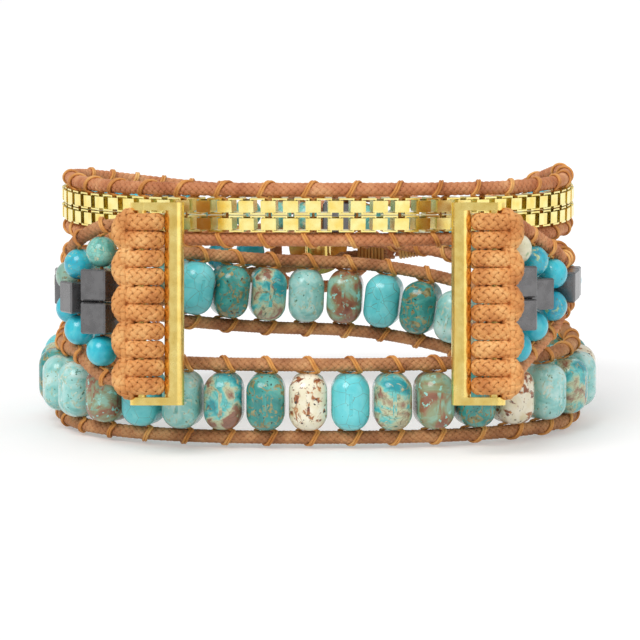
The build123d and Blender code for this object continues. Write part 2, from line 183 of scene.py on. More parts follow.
def setTable(s):
    look = Look("tablePaper")
    look.shader.inputs["Base Color"].default_value = (*s["table"], 1)
    look.set(roughness=s["tableRough"])
    path = look.add("LightPath")
    rays = {0: path.outputs["Is Camera Ray"], 1: path.outputs["Is Glossy Ray"]}
    seen = look.add("Math", rays, operation="MAXIMUM")
    rays = {0: seen.outputs[0], 1: path.outputs["Is Transmission Ray"]}
    seen = look.add("Math", rays, operation="MAXIMUM")
    glow = look.add("Emission")
    glow.inputs["Strength"].default_value = s["lift"]
    clear = look.add("Emission")
    clear.inputs["Strength"].default_value = 0
    pick = look.add("MixShader", {0: seen.outputs[0], 1: clear.outputs[0], 2: glow.outputs[0]})
    both = look.add("AddShader", {0: look.shader.outputs[0], 1: pick.outputs[0]})
    look.tree.links.new(both.outputs[0], look.tree.nodes["Material Output"].inputs[0])
    half = s["tableSide"] / 2 * mm
    mesh = bpy.data.meshes.new("table")
    corners = [(-half, -half, 0), (half, -half, 0), (half, half, 0), (-half, half, 0)]
    mesh.from_pydata(corners, [], [(0, 1, 2, 3)])
    table = bpy.data.objects.new("table", mesh)
    bpy.context.scene.collection.objects.link(table)
    mesh.materials.append(look.material)
    world = bpy.data.worlds.new("room")
    bpy.context.scene.world = world
    world.use_nodes = True
    nodes, links = world.node_tree.nodes, world.node_tree.links
    path = nodes.new("ShaderNodeLightPath")
    most = nodes.new("ShaderNodeMath")
    most.operation = "MAXIMUM"
    links.new(path.outputs["Is Camera Ray"], most.inputs[0])
    links.new(path.outputs["Is Transmission Ray"], most.inputs[1])
    level = nodes.new("ShaderNodeMapRange")
    level.inputs["To Min"].default_value = s["sky"]
    level.inputs["To Max"].default_value = 1
    links.new(most.outputs[0], level.inputs["Value"])
    links.new(level.outputs[0], nodes["Background"].inputs["Strength"])
    nodes["Background"].inputs["Color"].default_value = (1, 1, 1, 1)


bpy.context.scene.view_settings.view_transform = "Standard"
setCamera(camera)
setSun(*light["key"])
for lampName in ("fill", "back"):
    setLamp(lampName, light["aim"], *light[lampName])
setTable(light)
print("camera, lamps and table set")


# The straps' course, in millimetres, as the solids follow it

small = {"round": 4.0, "apart": 0.2, "room": 4.2, "cubeRoom": 5.4, "half": 2.0}
stone = {"height": 7.3, "room": 5.4, "count": 32}
chain = {"room": 1.4, "half": 2.175, "threads": 19, "linksPerThread": 4}
cord = {
    "thick": 1.8,
    "gap": 0.16,  # between it and the beads
    "slopeGap": 0.25,  # more of it where the cord slopes over the triangle
    "pair": 0.95,  # off the middle, where both lie side by side
}
pin = {"x": 22.4, "y": -30.9, "z": 19.2, "lean": 7.5}  # its middle, and degrees from upright
columnCounts = (4, 3, 2, 1)  # beads in each column of a triangle
leftColumns = {
    "start": (27.4, -28.6),
    "ways": (40, 66, 82, 92),
    "rooms": (5.2, 5.0, 4.4, 4.2),
    "back": 1.4,  # how far behind the first column its cords leave the knots
}
rightColumns = {
    "start": (25.3, -25.7),
    "ways": (66, 54, 52, 84),
    "rooms": (4.9, 4.5, 4.2, 4.8),
    "back": 1.6,
}
leftStrap = {
    "stations": [  # at the sides, the back and the front in turn
        (33.0, -1.5, 18.2),
        (0, 23.5, 12.5),
        (33.8, -2.5, 5.75),
        (0, -25.0, 5.75),
        (33.8, -2.5, 5.75),
        (0, 29.2, 18.2),
        (33.8, -2.5, 18.2),
    ],
    "powers": (2.0, 2.0, 2.6, 2.6, 3.0, 3.0),
    "beads": 7,  # small ones before the stones
    "tail": 8,  # and after them
    "spread": 7.4,  # the cords open out over this length
    "toTail": 5.0,  # and close again over this one
    "endX": 9.6,
}
rightStrap = {
    "stations": [
        (33.0, -1.5, 18.2),
        (0, 23.5, 23.6),
        (33.1, 4.0, 28.2),
        (0, -24.0, 29.7),
        (33.1, 4.0, 28.2),
        (0, 31.8, 18.2),
    ],
    "powers": (2.0, 2.0, 2.0, 2.0, 3.0),
    "beads": 22,  # small ones before the chain
    "tail": 4,
    "spread": 5.0,  # on both sides of the chain
    "endX": 10.8,
}
closure = {
    "whipRoom": 5.8,  # length of the two cords side by side
    "eyeRun": 4.4,  # length on which they pass the button's eye
    "eyeHalf": 0.92,  # as if a bead stood this far above and below the middle
}
walk = {
    "reach": 80,  # degrees that one step may cover
    "halvings": 50,
    "near": 0.5,  # degrees either way, for the strap's direction
    "cornerGap": 0.05,  # corners closer than this are one
}


def heading(way):
    return Vector((math.cos(math.radians(way)), math.sin(math.radians(way)), 0))


def smooth(f):
    return f * f * (3 - 2 * f)


def strapPoint(strap, turn):  # on the middle line, by degrees gone round from the first side
    stations, powers, lead = strap["stations"], strap["powers"], strap["lead"]
    if turn < 0:
        f = turn / 90 + 1
        x = lead.x + (stations[0][0] - lead.x) * math.sin(math.radians(90 * f))
        y = lead.y + (stations[0][1] - lead.y) * f
        return Vector((x, y, lead.z + (stations[0][2] - lead.z) * smooth(f)))
    quarter = min(int(turn // 90), len(powers) - 1)
    f = turn / 90 - quarter
    first, last = stations[quarter], stations[quarter + 1]
    side, end, angle = (first, last, 90 * f) if quarter % 2 == 0 else (last, first, 90 * (1 - f))
    power = 2 / powers[quarter]
    east = 1 if (quarter + 1) // 2 % 2 == 0 else -1
    x = east * side[0] * max(math.cos(math.radians(angle)), 0) ** power
    y = side[1] + (end[1] - side[1]) * max(math.sin(math.radians(angle)), 0) ** power
    return Vector((x, y, first[2] + (last[2] - first[2]) * smooth(f)))


def march(strap, turn, distance):  # the turn at which the strap is this far away, in a straight line
    start, low, high = strapPoint(strap, turn), turn, turn + walk["reach"]
    for _ in range(walk["halvings"]):
        middle = (low + high) / 2
        if (strapPoint(strap, middle) - start).length < distance:
            low = middle
        else:
            high = middle
    return low


def upAt(strap, turn):
    along = strapPoint(strap, turn + walk["near"]) - strapPoint(strap, turn - walk["near"])
    return along.cross(Vector((0, 0, 1))).cross(along).normalized()


class Course:  # the corners where both edge cords turn
    def __init__(self, strap):
        self.strap = strap
        self.turn = -90
        self.corners = []

    def corner(self, turn, half):
        point = strapPoint(self.strap, turn)
        if not self.corners or (point - self.corners[-1][0]).length > walk["cornerGap"]:
            self.corners.append((point, upAt(self.strap, turn), half))

    def lay(self, count, step, half):
        seats = []
        for _ in range(count):
            after = march(self.strap, self.turn, step)
            self.corner(self.turn, half)
            self.corner(after, half)
            seats.append(self.seat())
            self.turn = after
        return seats

    def skip(self, length):
        self.turn = march(self.strap, self.turn, length)

    def seat(self):
        first, last = self.corners[-2], self.corners[-1]
        way = (last[0] - first[0]).normalized()
        return ((first[0] + last[0]) / 2, way, (first[1] + last[1]).normalized())


def backTurn(strap, x):
    angle = math.degrees(math.acos((abs(x) / strap["stations"][4][0]) ** (strap["powers"][4] / 2)))
    return 360 + angle if x >= 0 else 540 - angle


def cordHeight(half):
    return half + cord["gap"] + cord["thick"] / 2


def columnPlanes(s):  # centre, way and upward direction of each column of the triangle
    centre = Vector((*s["start"], pin["z"]))
    planes = []
    for k, (way, room) in enumerate(zip(s["ways"], s["rooms"])):
        if k:
            centre = centre + heading(s["ways"][k - 1]) * s["rooms"][k - 1] / 2 + heading(way) * room / 2
        tilt = math.radians(pin["lean"] * (1 - (k + 1) / len(s["ways"])))
        planes.append((centre, heading(way), Vector((0, math.sin(tilt), math.cos(tilt)))))
    return planes


def columnHeight(count):
    return cordHeight((count * small["round"] + (count - 1) * small["apart"]) / 2) + cord["slopeGap"]


leftPlanes, rightPlanes = columnPlanes(leftColumns), columnPlanes(rightColumns)
for strap, planes, s in ((leftStrap, leftPlanes, leftColumns), (rightStrap, rightPlanes, rightColumns)):
    strap["lead"] = planes[-1][0] + heading(s["ways"][-1]) * s["rooms"][-1] / 2
leftCourse, rightCourse = Course(leftStrap), Course(rightStrap)
leftSeats = leftCourse.lay(1, small["cubeRoom"], small["half"])
leftSeats += leftCourse.lay(leftStrap["beads"] - 1, small["room"], small["half"])
leftCourse.skip(leftStrap["spread"])
stoneSeats = leftCourse.lay(stone["count"], stone["room"], stone["height"] / 2)
leftCourse.skip(leftStrap["toTail"])
leftSeats += leftCourse.lay(leftStrap["tail"], small["room"], small["half"])
for share in (1 / 2, 1 / 3, -1 / 3, -1 / 2):  # straight past the button's eye
    leftCourse.corner(backTurn(leftStrap, closure["eyeRun"] * share), closure["eyeHalf"])
pairHalf = cord["pair"] - cordHeight(0)
for cornerX in (closure["whipRoom"] - leftStrap["endX"], -leftStrap["endX"]):
    leftCourse.corner(backTurn(leftStrap, cornerX), pairHalf)
rightSeats = rightCourse.lay(1, small["cubeRoom"], small["half"])
rightSeats += rightCourse.lay(rightStrap["beads"] - 1, small["room"], small["half"])
rightCourse.skip(rightStrap["spread"])
chainTurns = [rightCourse.turn]
for _ in range(chain["linksPerThread"] * chain["threads"]):
    chainTurns.append(march(rightStrap, chainTurns[-1], chain["room"]))
chainSeats = []
threadTurns = chainTurns[::chain["linksPerThread"]]
for start, end in zip(threadTurns, threadTurns[1:]):
    rightCourse.turn = end
    rightCourse.corner(start, chain["half"])
    rightCourse.corner(end, chain["half"])
    chainSeats.append(rightCourse.seat())
rightCourse.skip(rightStrap["spread"])
rightSeats += rightCourse.lay(rightStrap["tail"], small["room"], small["half"])
for cornerX in (rightStrap["endX"] + closure["whipRoom"], rightStrap["endX"]):
    rightCourse.corner(backTurn(rightStrap, cornerX), pairHalf)
print("course of the straps laid")


# Meshes of cords and threads

def toFrame(points, mirrored):
    turned = np.array(points, dtype=float)
    if mirrored:
        turned[:, 0] = -turned[:, 0]
    return (turned + np.array(frameShift)) * mm


routeDetail = 12
fewestSteps = 4


def curveLine(points, step):  # a smooth line along the route, evenly stepped
    data = bpy.data.curves.new("route", "CURVE")
    data.dimensions = "3D"
    data.resolution_u = routeDetail
    spline = data.splines.new("NURBS")
    spline.points.add(len(points) - 1)
    for target, point in zip(spline.points, points):
        target.co = (*point, 1)
    spline.order_u = 3
    spline.use_endpoint_u = True
    obj = bpy.data.objects.new("route", data)
    mesh = bpy.data.meshes.new_from_object(obj)
    line = np.array([v.co[:] for v in mesh.vertices])
    bpy.data.objects.remove(obj)
    bpy.data.curves.remove(data)
    bpy.data.meshes.remove(mesh)
    keep = np.r_[True, np.linalg.norm(np.diff(line, axis=0), axis=1) > tiny]
    line = line[keep]
    run = np.r_[0, np.cumsum(np.linalg.norm(np.diff(line, axis=0), axis=1))]
    count = max(int(run[-1] / step), fewestSteps)
    even = np.linspace(0, run[-1], count + 1)
    return np.stack([np.interp(even, run, line[:, k]) for k in range(3)], axis=1)


def along(line):
    ways = np.gradient(line, axis=0)
    return ways / np.linalg.norm(ways, axis=1)[:, None]


def carried(line, up):  # a side direction carried along the line without twist
    ways = along(line)
    sides = np.zeros_like(line)
    side = np.array(up) - np.dot(up, ways[0]) * ways[0]
    for k, way in enumerate(ways):
        side = side - np.dot(side, way) * way
        side = side / np.linalg.norm(side)
        sides[k] = side
    return ways, sides, np.cross(ways, sides)


# A closed tube for each strip, given by its line, outward way, half width and half thickness
def tubes(strips, corners=6):
    vertices, faces = [], []
    start = 0
    for line, out, halfWidth, halfThick in strips:
        ways = along(line)
        out = out - np.sum(out * ways, axis=1)[:, None] * ways
        out = out / np.linalg.norm(out, axis=1)[:, None]
        side = np.cross(ways, out)
        angles = np.arange(corners) * 2 * math.pi / corners
        ring = np.cos(angles)[None, :, None] * side[:, None, :] * halfWidth
        ring = ring + np.sin(angles)[None, :, None] * out[:, None, :] * halfThick
        vertices.append((line[:, None, :] + ring).reshape(-1, 3))
        count = len(line)
        rows, around = np.arange(count - 1)[:, None] * corners, np.arange(corners)[None, :]
        a = start + rows + around
        b = start + rows + (around + 1) % corners
        faces += np.stack([a, b, b + corners, a + corners], axis=2).reshape(-1, 4).tolist()
        faces.append(list(range(start + corners - 1, start - 1, -1)))
        faces.append(list(range(start + (count - 1) * corners, start + count * corners)))
        start += count * corners
    return np.vstack(vertices), faces


def addPiece(name, vertices, faces, look, body, nodes, slot, mirrored):
    mesh = bpy.data.meshes.new(name)
    if mirrored:
        faces = [face[::-1] for face in faces]
    mesh.from_pydata(toFrame(vertices, mirrored).tolist(), [], faces)
    mesh.polygons.foreach_set("use_smooth", [True] * len(mesh.polygons))
    mesh.materials.append(look)
    piece = bpy.data.objects.new(name, mesh)
    bpy.context.scene.collection.objects.link(piece)
    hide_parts(*nodes)
    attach(piece, body)


braid = {  # strands of a cord 1.8 mm thick
    "carriers": 5,  # each way round
    "pitch": 4.6,
    "middle": 0.69,
    "weave": 0.075,  # how far a strand runs over and under that middle
    "halfWidth": 0.325,
    "halfThick": 0.13,
    "core": 0.75,  # its radius
    "coreEvery": 4,  # steps of the strands to one of the core
    "step": 0.18,
}


def braided(line, up, s, scale=1.0, wide=1.0):
    _, sides, outs = carried(line, up)
    run = np.r_[0, np.cumsum(np.linalg.norm(np.diff(line, axis=0), axis=1))]
    turns = 2 * math.pi * run / (s["pitch"] * scale)
    up = np.array(up)
    strips = []
    for way in (1, -1):
        radius = (s["middle"] + way * s["weave"] * np.cos(s["carriers"] * turns)) * scale
        for k in range(s["carriers"]):
            angle = way * turns + 2 * math.pi * k / s["carriers"]
            out = np.cos(angle)[:, None] * sides + np.sin(angle)[:, None] * outs
            away = out * radius[:, None]
            away = away + (away @ up)[:, None] * up * (wide - 1)
            strips.append((line + away, out, s["halfWidth"] * scale, s["halfThick"] * scale))
    core = s["core"] * scale
    strips.append((line[::s["coreEvery"]], sides[::s["coreEvery"]], core, core))
    return strips


# Materials

cordGrainAndShade = {
    "long": (0.35, 2.0),  # waves for each millimetre, and detail
    "fibres": (7.0, 4.0, 0.7, 0.6),
    "tones": (0.30, 0.52, 0.74),
    "creaseShade": (0.62, 0.56, 0.52),
    # painted shade: this colour darkens the low places of the fibre relief, the creases between fibres, and
    # also gives the cord a fibre grain
    "creases": (0.30, 0.58),
    "blend": 0.6,
    "gloss": 0.35,
    "relief": (0.5, 0.08),
}


def cordLook(name, s):
    look = Look(name)
    long = look.noise(*cordGrainAndShade["long"])
    fibres = look.noise(*cordGrainAndShade["fibres"])
    base = look.ramp(long, *zip(cordGrainAndShade["tones"], (s["dark"], s["middle"], s["light"])))
    # painted shade in the creases between fibres: the same fibre noise that raises the bump darkens its low
    # places, which also reads as fibre grain
    fibreShade = look.ramp(fibres, *zip(cordGrainAndShade["creases"], (cordGrainAndShade["creaseShade"], (1, 1, 1))))
    look.link(look.mix(cordGrainAndShade["blend"], base, fibreShade, "MULTIPLY"), "Base Color")
    look.set(roughness=s["rough"], spec=cordGrainAndShade["gloss"])
    look.bump(fibres, *cordGrainAndShade["relief"])
    return look.material


cordColours = {
    "orangeTan": {
        "dark": rgb(205, 132, 70), "middle": rgb(232, 164, 96), "light": rgb(250, 196, 128),
        "rough": 0.6,
    },
    "redTan": {
        "dark": rgb(186, 114, 72), "middle": rgb(212, 142, 96), "light": rgb(232, 172, 122),
        "rough": 0.62,
    },
    "brown": {
        "dark": rgb(160, 104, 66), "middle": rgb(196, 138, 92), "light": rgb(222, 168, 116),
        "rough": 0.62,
    },
    "goldThread": {
        "dark": rgb(196, 124, 58), "middle": rgb(228, 160, 84), "light": rgb(248, 196, 122),
        "rough": 0.5,
    },
}
cordLooks = {name: cordLook(name, s) for name, s in cordColours.items()}


metalWear = {
    "patches": (0.7, 3.0, 0.5),
    "tones": (0.30, 0.65),
    "smoother": 0.75,
    "rougher": 1.35,
    "fine": (9.0, 2.0),
    "relief": (0.08, 0.01),
}


def metalLook(name, s):
    look = Look(name)
    wear = look.noise(*metalWear["patches"])
    look.link(look.ramp(wear, *zip(metalWear["tones"], (s["deep"], s["bright"]))), "Base Color")
    rough = look.add("MapRange", {"Value": wear})
    rough.inputs["To Min"].default_value = s["rough"] * metalWear["smoother"]
    rough.inputs["To Max"].default_value = s["rough"] * metalWear["rougher"]
    look.link(rough.outputs[0], "Roughness")
    look.set(metallic=s["metal"])
    look.bump(look.noise(*metalWear["fine"]), *metalWear["relief"])
    return look.material


metals = {
    "polishedGold": {"deep": rgb(246, 210, 112), "bright": rgb(255, 230, 142), "rough": 0.24, "metal": 1.0},
    "chainGold": {"deep": rgb(248, 220, 120), "bright": rgb(255, 244, 168), "rough": 0.2, "metal": 1.0},
    "hematite": {"deep": rgb(110, 109, 110), "bright": rgb(126, 125, 126), "rough": 0.26, "metal": 0.85},
}
metalLooks = {name: metalLook(name, s) for name, s in metals.items()}


stonePolish = {
    "jump": 60,  # millimetres through the pattern from one bead to the next
    "cloud": (4.0, 0.55, 0.8),  # detail, roughness, distortion and place
    "patch": (5.0, 0.6, 1.6, (17, 5, 9)),
    "speck": (2.0, 0.6, 0.0, (31, 12, 5)),
    "tint": (1.6, 3.0),  # waves for each millimetre, then the same
    "warp": (1.3, 4.0, 0.6, 0.0, (3, 8, 2)),
    "pits": (2.2, 5.0, 0.6),
    "patchEdge": 0.03,
    "speckEdge": 0.02,
    "rough": 0.22,
    "coat": 0.35,
    "coatRough": 0.1,
    "relief": (0.10, 0.05),
}


def stoneLook(name, s):
    look = Look(name)
    polish = stonePolish
    place = look.coords(1)
    island = look.add("NewGeometry").outputs["Random Per Island"]
    jitter = look.add("VectorMath", {0: place}, operation="ADD")
    spread = look.add("Math", {0: island}, operation="MULTIPLY")
    spread.inputs[1].default_value = polish["jump"]
    look.link(spread.outputs[0], jitter.inputs[1])
    look.place = look.add("VectorMath", {0: jitter.outputs[0]}, operation="SCALE").outputs[0]
    look.place.node.inputs["Scale"].default_value = mm
    cloud = look.noise(s["cloud"], *polish["cloud"])
    base = look.ramp(cloud, *s["base"])
    if "patch" in s:
        patch = look.noise(s["patchSize"], *polish["patch"])
        first, last = s["patchAt"] - polish["patchEdge"], s["patchAt"] + polish["patchEdge"]
        cover = look.ramp(patch, (first, (0, 0, 0)), (last, (1, 1, 1)))
        tint = look.ramp(look.noise(*polish["tint"]), *s["patch"])
        base = look.mix(cover, base, tint)
    if "veins" in s:
        cells = look.add("TexVoronoi", {"Vector": look.coords(s["veinSize"])}, feature="DISTANCE_TO_EDGE")
        warp = look.noise(*polish["warp"])
        edge = look.add("Math", {0: cells.outputs["Distance"], 1: warp}, operation="MULTIPLY")
        line = look.ramp(edge.outputs[0], (0.0, (1, 1, 1)), (s["veinWidth"], (0, 0, 0)))
        base = look.mix(line, base, s["veins"])
    if "specks" in s:
        dots = look.noise(s["speckSize"], *polish["speck"])
        cover = look.ramp(dots, (s["speckAt"], (0, 0, 0)), (s["speckAt"] + polish["speckEdge"], (1, 1, 1)))
        base = look.mix(cover, base, s["specks"])
    look.link(base, "Base Color")
    look.set(roughness=polish["rough"], coat=polish["coat"], coatRough=polish["coatRough"])
    look.bump(look.noise(*polish["pits"]), *polish["relief"])
    return look.material


stones = {
    "stoneBlue": {
        "cloud": 0.35,
        "base": ((0.3, rgb(86, 200, 208)), (0.55, rgb(108, 216, 222)), (0.75, rgb(140, 228, 230))),
        "veins": rgb(104, 96, 70), "veinSize": 0.11, "veinWidth": 0.006,
        "specks": rgb(60, 140, 148), "speckSize": 2.2, "speckAt": 0.73,
    },
    "stoneGreen": {
        "cloud": 0.35,
        "base": ((0.3, rgb(36, 122, 118)), (0.5, rgb(56, 152, 146)), (0.72, rgb(104, 186, 174))),
        "patch": ((0.35, rgb(104, 104, 66)), (0.65, rgb(172, 160, 108))),
        "patchSize": 0.75, "patchAt": 0.55,
        "specks": rgb(38, 52, 44), "speckSize": 2.0, "speckAt": 0.66,
    },
    "stonePale": {
        "cloud": 0.40,
        "base": ((0.32, rgb(112, 188, 182)), (0.5, rgb(158, 218, 212)), (0.68, rgb(204, 236, 230))),
        "patch": ((0.35, rgb(150, 182, 152)), (0.65, rgb(216, 228, 208))),
        "patchSize": 0.9, "patchAt": 0.58,
        "specks": rgb(96, 140, 124), "speckSize": 1.7, "speckAt": 0.67,
    },
    "stoneOlive": {
        "cloud": 0.26,
        "base": (
            (0.38, rgb(152, 200, 180)), (0.46, rgb(148, 158, 120)),
            (0.54, rgb(156, 104, 76)), (0.68, rgb(122, 68, 52)),
        ),
        "patch": ((0.35, rgb(100, 168, 152)), (0.65, rgb(176, 190, 156))),
        "patchSize": 0.8, "patchAt": 0.62,
        "specks": rgb(160, 220, 208), "speckSize": 1.2, "speckAt": 0.63,
    },
    "stoneCream": {
        "cloud": 0.35,
        "base": ((0.3, rgb(230, 216, 172)), (0.6, rgb(248, 242, 220))),
        "patch": ((0.35, rgb(118, 50, 34)), (0.65, rgb(196, 128, 66))),
        "patchSize": 0.55, "patchAt": 0.56,
        "specks": rgb(58, 40, 32), "speckSize": 1.8, "speckAt": 0.66,
    },
    "stoneMixed": {
        "cloud": 0.22,
        "base": (
            (0.38, rgb(34, 156, 166)), (0.47, rgb(104, 200, 196)),
            (0.53, rgb(196, 204, 166)), (0.6, rgb(150, 104, 84)),
        ),
        "patch": ((0.35, rgb(74, 120, 104)), (0.65, rgb(214, 202, 156))),
        "patchSize": 0.7, "patchAt": 0.60,
        "veins": rgb(76, 62, 44), "veinSize": 0.2, "veinWidth": 0.008,
    },
    "beadTeal": {
        "cloud": 0.5,
        "base": ((0.3, rgb(64, 146, 134)), (0.5, rgb(104, 188, 176)), (0.7, rgb(146, 212, 198))),
        "patch": ((0.35, rgb(168, 164, 112)), (0.65, rgb(232, 226, 190))),
        "patchSize": 0.8, "patchAt": 0.60,
        "veins": rgb(82, 84, 62), "veinSize": 0.30, "veinWidth": 0.012,
    },
    "beadAqua": {
        "cloud": 0.4,
        "base": ((0.3, rgb(18, 172, 198)), (0.55, rgb(52, 198, 216)), (0.75, rgb(110, 218, 224))),
        "specks": rgb(60, 120, 120), "speckSize": 2.0, "speckAt": 0.72,
    },
    "beadCream": {
        "cloud": 0.4,
        "base": ((0.3, rgb(206, 206, 160)), (0.6, rgb(238, 234, 204))),
        "patch": ((0.35, rgb(120, 170, 150)), (0.65, rgb(170, 190, 140))),
        "patchSize": 0.6, "patchAt": 0.62,
        "specks": rgb(120, 110, 74), "speckSize": 1.8, "speckAt": 0.66,
    },
    "beadBlue": {
        "cloud": 0.4,
        "base": ((0.3, rgb(14, 156, 190)), (0.55, rgb(42, 188, 208)), (0.75, rgb(96, 206, 214))),
        "patch": ((0.35, rgb(128, 190, 150)), (0.65, rgb(214, 220, 168))),
        "patchSize": 0.6, "patchAt": 0.58,
        "veins": rgb(112, 110, 72), "veinSize": 0.32, "veinWidth": 0.01,
    },
    "beadMoss": {
        "cloud": 0.5,
        "base": ((0.3, rgb(112, 158, 140)), (0.55, rgb(148, 186, 166)), (0.75, rgb(188, 208, 186))),
        "patch": ((0.35, rgb(92, 92, 64)), (0.65, rgb(156, 150, 110))),
        "patchSize": 0.7, "patchAt": 0.60,
        "specks": rgb(70, 84, 66), "speckSize": 1.8, "speckAt": 0.66,
    },
}
stoneLooks = {name: stoneLook(name, s) for name, s in stones.items()}
print("materials made")


# Beads, chain and metal from the solids

nodes = frame["nodes"]
softEdge = {"cube": 0.06, "frame": 0.12, "pin": 0.06, "chain": 0.05, "button": 0.15, "cuts": 2, "angle": 40}
weldGap = 0.002


def dress(node, looks, pick=None, bevel=None, whole=False):
    obj = nodes[node]
    obj.data.materials.clear()
    for look in looks:
        obj.data.materials.append(look)
    if pick:
        islands(obj, pick)
    if whole:  # joins the faces of each bead, so that its colours run on across them
        obj.modifiers.new("oneBead", "WELD").merge_threshold = weldGap * mm
    if bevel:
        edge = obj.modifiers.new("softEdge", "BEVEL")
        edge.width = bevel * mm
        edge.segments = softEdge["cuts"]
        edge.limit_method = "ANGLE"
        edge.angle_limit = math.radians(softEdge["angle"])


def islands(obj, pick):  # gives each separate bead of a node its own material
    mesh = obj.data
    group = list(range(len(mesh.vertices)))

    def root(k):
        while group[k] != k:
            group[k] = group[group[k]]
            k = group[k]
        return k

    for edge in mesh.edges:
        a, b = root(edge.vertices[0]), root(edge.vertices[1])
        if a != b:
            group[a] = b
    sums = {}
    for vertex in mesh.vertices:
        total = sums.setdefault(root(vertex.index), [Vector(), 0])
        total[0] += vertex.co
        total[1] += 1
    picked = {key: pick(total / count) for key, (total, count) in sums.items()}
    for polygon in mesh.polygons:
        polygon.material_index = picked[root(polygon.vertices[0])]


beadKinds = ("Teal", "Aqua", "Cream", "Blue", "Moss")
roundKinds = {  # the upper and lower bead of each column that has a round one at both ends
    "left": (("Teal", "Aqua"), ("Blue", "Aqua"), ("Moss", "Aqua")),
    "right": (("Cream", "Aqua"), ("Blue", "Aqua"), ("Aqua", "Blue")),
}
spreadOrder = ("Teal", "Aqua", "Blue", "Aqua", "Cream", "Moss", "Teal")
spreadSteps = Vector((1700, 900, 400))


def pickRound(side, planes):
    places = []
    for (middle, _, up), count, kinds in zip(planes, columnCounts, roundKinds[side]):
        reach = (count - 1) / 2 * (small["round"] + small["apart"])
        places += [(middle + up * reach, kinds[0]), (middle - up * reach, kinds[1])]

    def pick(centre):
        here = centre / mm - frameShift
        if side == "left":
            here.x = -here.x
        kind = min(places, key=lambda place: (here - place[0]).length)[1]
        return beadKinds.index(kind)
    return pick


def pickSpread(centre):  # a settled mixture of the bead stones
    mixed = centre.x * spreadSteps.x + centre.y * spreadSteps.y + centre.z * spreadSteps.z
    return beadKinds.index(spreadOrder[int(abs(mixed)) % len(spreadOrder)])


beadLooks = [stoneLooks["bead" + kind] for kind in beadKinds]
for side, planes in (("left", leftPlanes), ("right", rightPlanes)):
    dress(side + "_triangle_rounds", beadLooks, pickRound(side, planes), whole=True)
    dress(side + "_strap_rounds", beadLooks, pickSpread, whole=True)
    dress(side + "_triangle_cubes", [metalLooks["hematite"]], bevel=softEdge["cube"])
    dress(side + "_strap_cubes", [metalLooks["hematite"]], bevel=softEdge["cube"])
    dress(side + "_connector_frame", [metalLooks["polishedGold"]], bevel=softEdge["frame"])
    dress(side + "_connector_pin", [metalLooks["polishedGold"]], bevel=softEdge["pin"])
    dress(side + "_latch", [metalLooks["polishedGold"]])
    dress(side + "_latch_spring", [metalLooks["polishedGold"]])
for kind in ("Blue", "Green", "Pale", "Olive", "Cream", "Mixed"):
    dress("stones_" + kind.lower(), [stoneLooks["stone" + kind]], whole=True)
for row in ("chain_upper_row", "chain_lower_row"):
    dress(row, [metalLooks["chainGold"]], bevel=softEdge["chain"])
dress("button", [metalLooks["polishedGold"]], bevel=softEdge["button"])
print("beads, chain and metal dressed")


# Edge cords, knots and loop, braided

knot = {
    "count": 5,
    "thick": 1.9,
    "wide": 1.27,  # strands flattened against each other
    "gap": 0.42,
    "pitch": 4.6,
    "reach": 2.45,
    "bight": 1.35,
    "radius": 1.77,  # of the wrap round the pin
    "cordStart": 1.2,
    "step": 0.14,
}
loop = {  # half of its route along the band, and up from its middle
    "route": [
        (10.6, 0.95), (9.4, 0.95), (8.0, 1.1), (5.6, 3.5),
        (3.0, 5.6), (-1.5, 5.75), (-5.0, 5.2), (-5.9, 2.4),
    ],
}


def pinPoint(x, y, z):  # from a place beside the connector's pin
    tilt = math.radians(pin["lean"])
    back = Vector((0, math.cos(tilt), -math.sin(tilt)))
    up = Vector((0, math.sin(tilt), math.cos(tilt)))
    return Vector((pin["x"], pin["y"], pin["z"])) + Vector((x, 0, 0)) + back * y + up * z


def edgeCord(planes, back, course, sign):  # from the outermost knot, over the triangle, along the course
    outermost = (knot["count"] - 1) / 2 * knot["pitch"] + (knot["thick"] + knot["gap"]) / 2
    points = [pinPoint(knot["cordStart"], knot["radius"], sign * outermost)]
    for (centre, _, up), count in zip(planes, columnCounts):
        points.append(centre + up * sign * columnHeight(count))
    points.insert(1, points[1] - planes[0][1] * back)
    return points + [point + up * sign * cordHeight(half) for point, up, half in course.corners]


def buildEdgeCords():
    work = (
        ("left", leftPlanes, leftColumns["back"], leftCourse, cordLooks["brown"], "cord_brown"),
        ("right", rightPlanes, rightColumns["back"], rightCourse, cordLooks["redTan"], "cord_tan"),
    )
    for side, planes, back, course, look, slot in work:
        for level, sign in (("upper", 1), ("lower", -1)):
            line = curveLine(edgeCord(planes, back, course, sign), braid["step"])
            vertices, faces = tubes(braided(line, (0, 0, 1), braid))
            name, node = side + level.title() + "Cord", side + "_" + level + "_cord"
            addPiece(name, vertices, faces, look, "band", [node], slot, side == "left")


